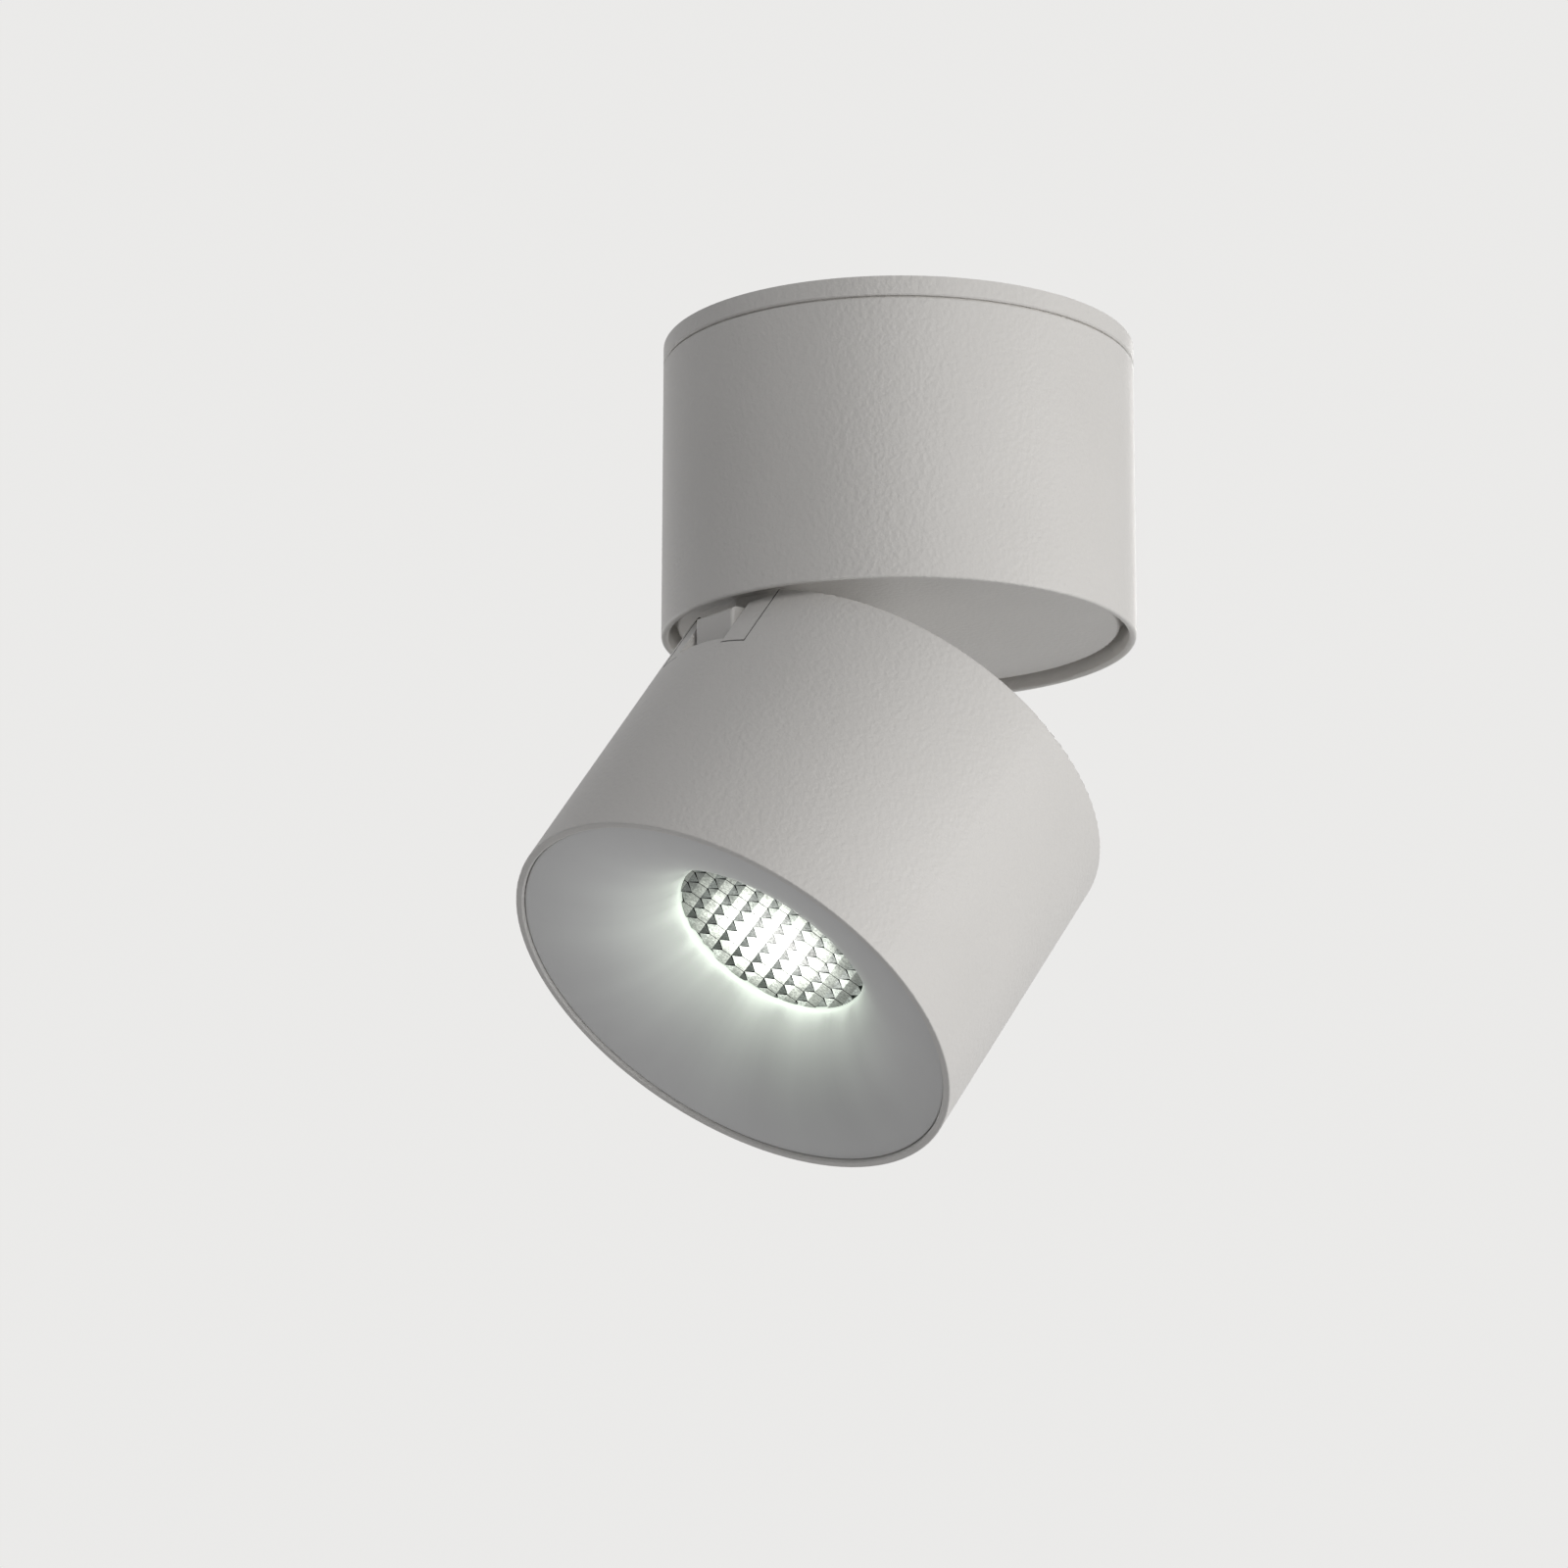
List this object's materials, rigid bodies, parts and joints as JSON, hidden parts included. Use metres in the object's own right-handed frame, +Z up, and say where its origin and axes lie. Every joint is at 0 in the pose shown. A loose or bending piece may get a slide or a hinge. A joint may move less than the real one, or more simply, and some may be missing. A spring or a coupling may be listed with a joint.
{
  "type": "ceiling spotlight",
  "caption": "Surface mounted ceiling spotlight: a fixed cylinder and an equal cylindrical head that folds out on an offset hinge and turns, with a horn trim and a faceted lens.",
  "frame": {"origin": "centre of the flat face that meets the ceiling", "axes": "+Z up into the ceiling along the body's axis; -Y is the side with the hinge, to which the head folds out; +X along the hinge axis"},
  "size_m": [0.1, 0.1341, 0.1759],
  "materials": {
    "powder_white": "matte",
    "trim_white": "matte",
    "lens_clear": "clear moulded acrylic with faceted cells",
    "bare_aluminium": "bare die-cast aluminium",
    "zinc_steel": "zinc plated steel",
    "brass_bare": "turned brass",
    "nylon_dark": "dark moulded nylon",
    "black_rubber": "soft black rubber",
    "ivory_plastic": "ivory moulded nylon",
    "driver_plastic": "white polycarbonate housing",
    "holder_plastic": "white heat resistant plastic",
    "board_white": "aluminium board with white solder mask",
    "phosphor_yellow": "yellow phosphor set in silicone"
  },
  "bodies": {
    "base": {"base_flange": "powder_white", "cable_grommet": "black_rubber", "terminal_block": "ivory_plastic", "bayonet_pins": "zinc_steel", "body_casing": "powder_white", "carrier_plate": "bare_aluminium", "carrier_screws": "zinc_steel", "driver_bracket": "zinc_steel", "bracket_screws": "zinc_steel", "driver_case": "driver_plastic", "driver_screws": "zinc_steel"},
    "turntable": {"swivel_disc": "powder_white", "thrust_washer": "nylon_dark", "swivel_tube": "brass_bare", "spring_washer": "zinc_steel", "swivel_nut": "brass_bare", "stop_pin": "zinc_steel", "hinge_arm": "powder_white", "arm_screws": "zinc_steel"},
    "head": {"head_casing": "powder_white", "rear_cover": "powder_white", "rear_screws": "zinc_steel", "wire_grommet": "black_rubber", "hinge_bolt": "zinc_steel", "hinge_nut": "zinc_steel", "hinge_washers": "nylon_dark", "heat_sink": "bare_aluminium", "sink_screws": "zinc_steel", "led_board": "board_white", "led_chip": "phosphor_yellow", "led_holder": "holder_plastic", "holder_screws": "zinc_steel", "lens": "lens_clear", "lens_holder": "nylon_dark", "trim_cone": "trim_white"}
  },
  "joints": [
    {"name": "head_turn", "type": "hinge", "parent": "base", "child": "turntable", "pos_m": [0, 0, -0.06], "axis": [0, 0, 1], "range_deg": [-175, 175]},
    {"name": "head_tilt", "type": "hinge", "parent": "turntable", "child": "head", "pos_m": [0, -0.042, -0.0728], "axis": [-1, 0, 0], "range_deg": [-36.3, 53.7]}
  ]
}
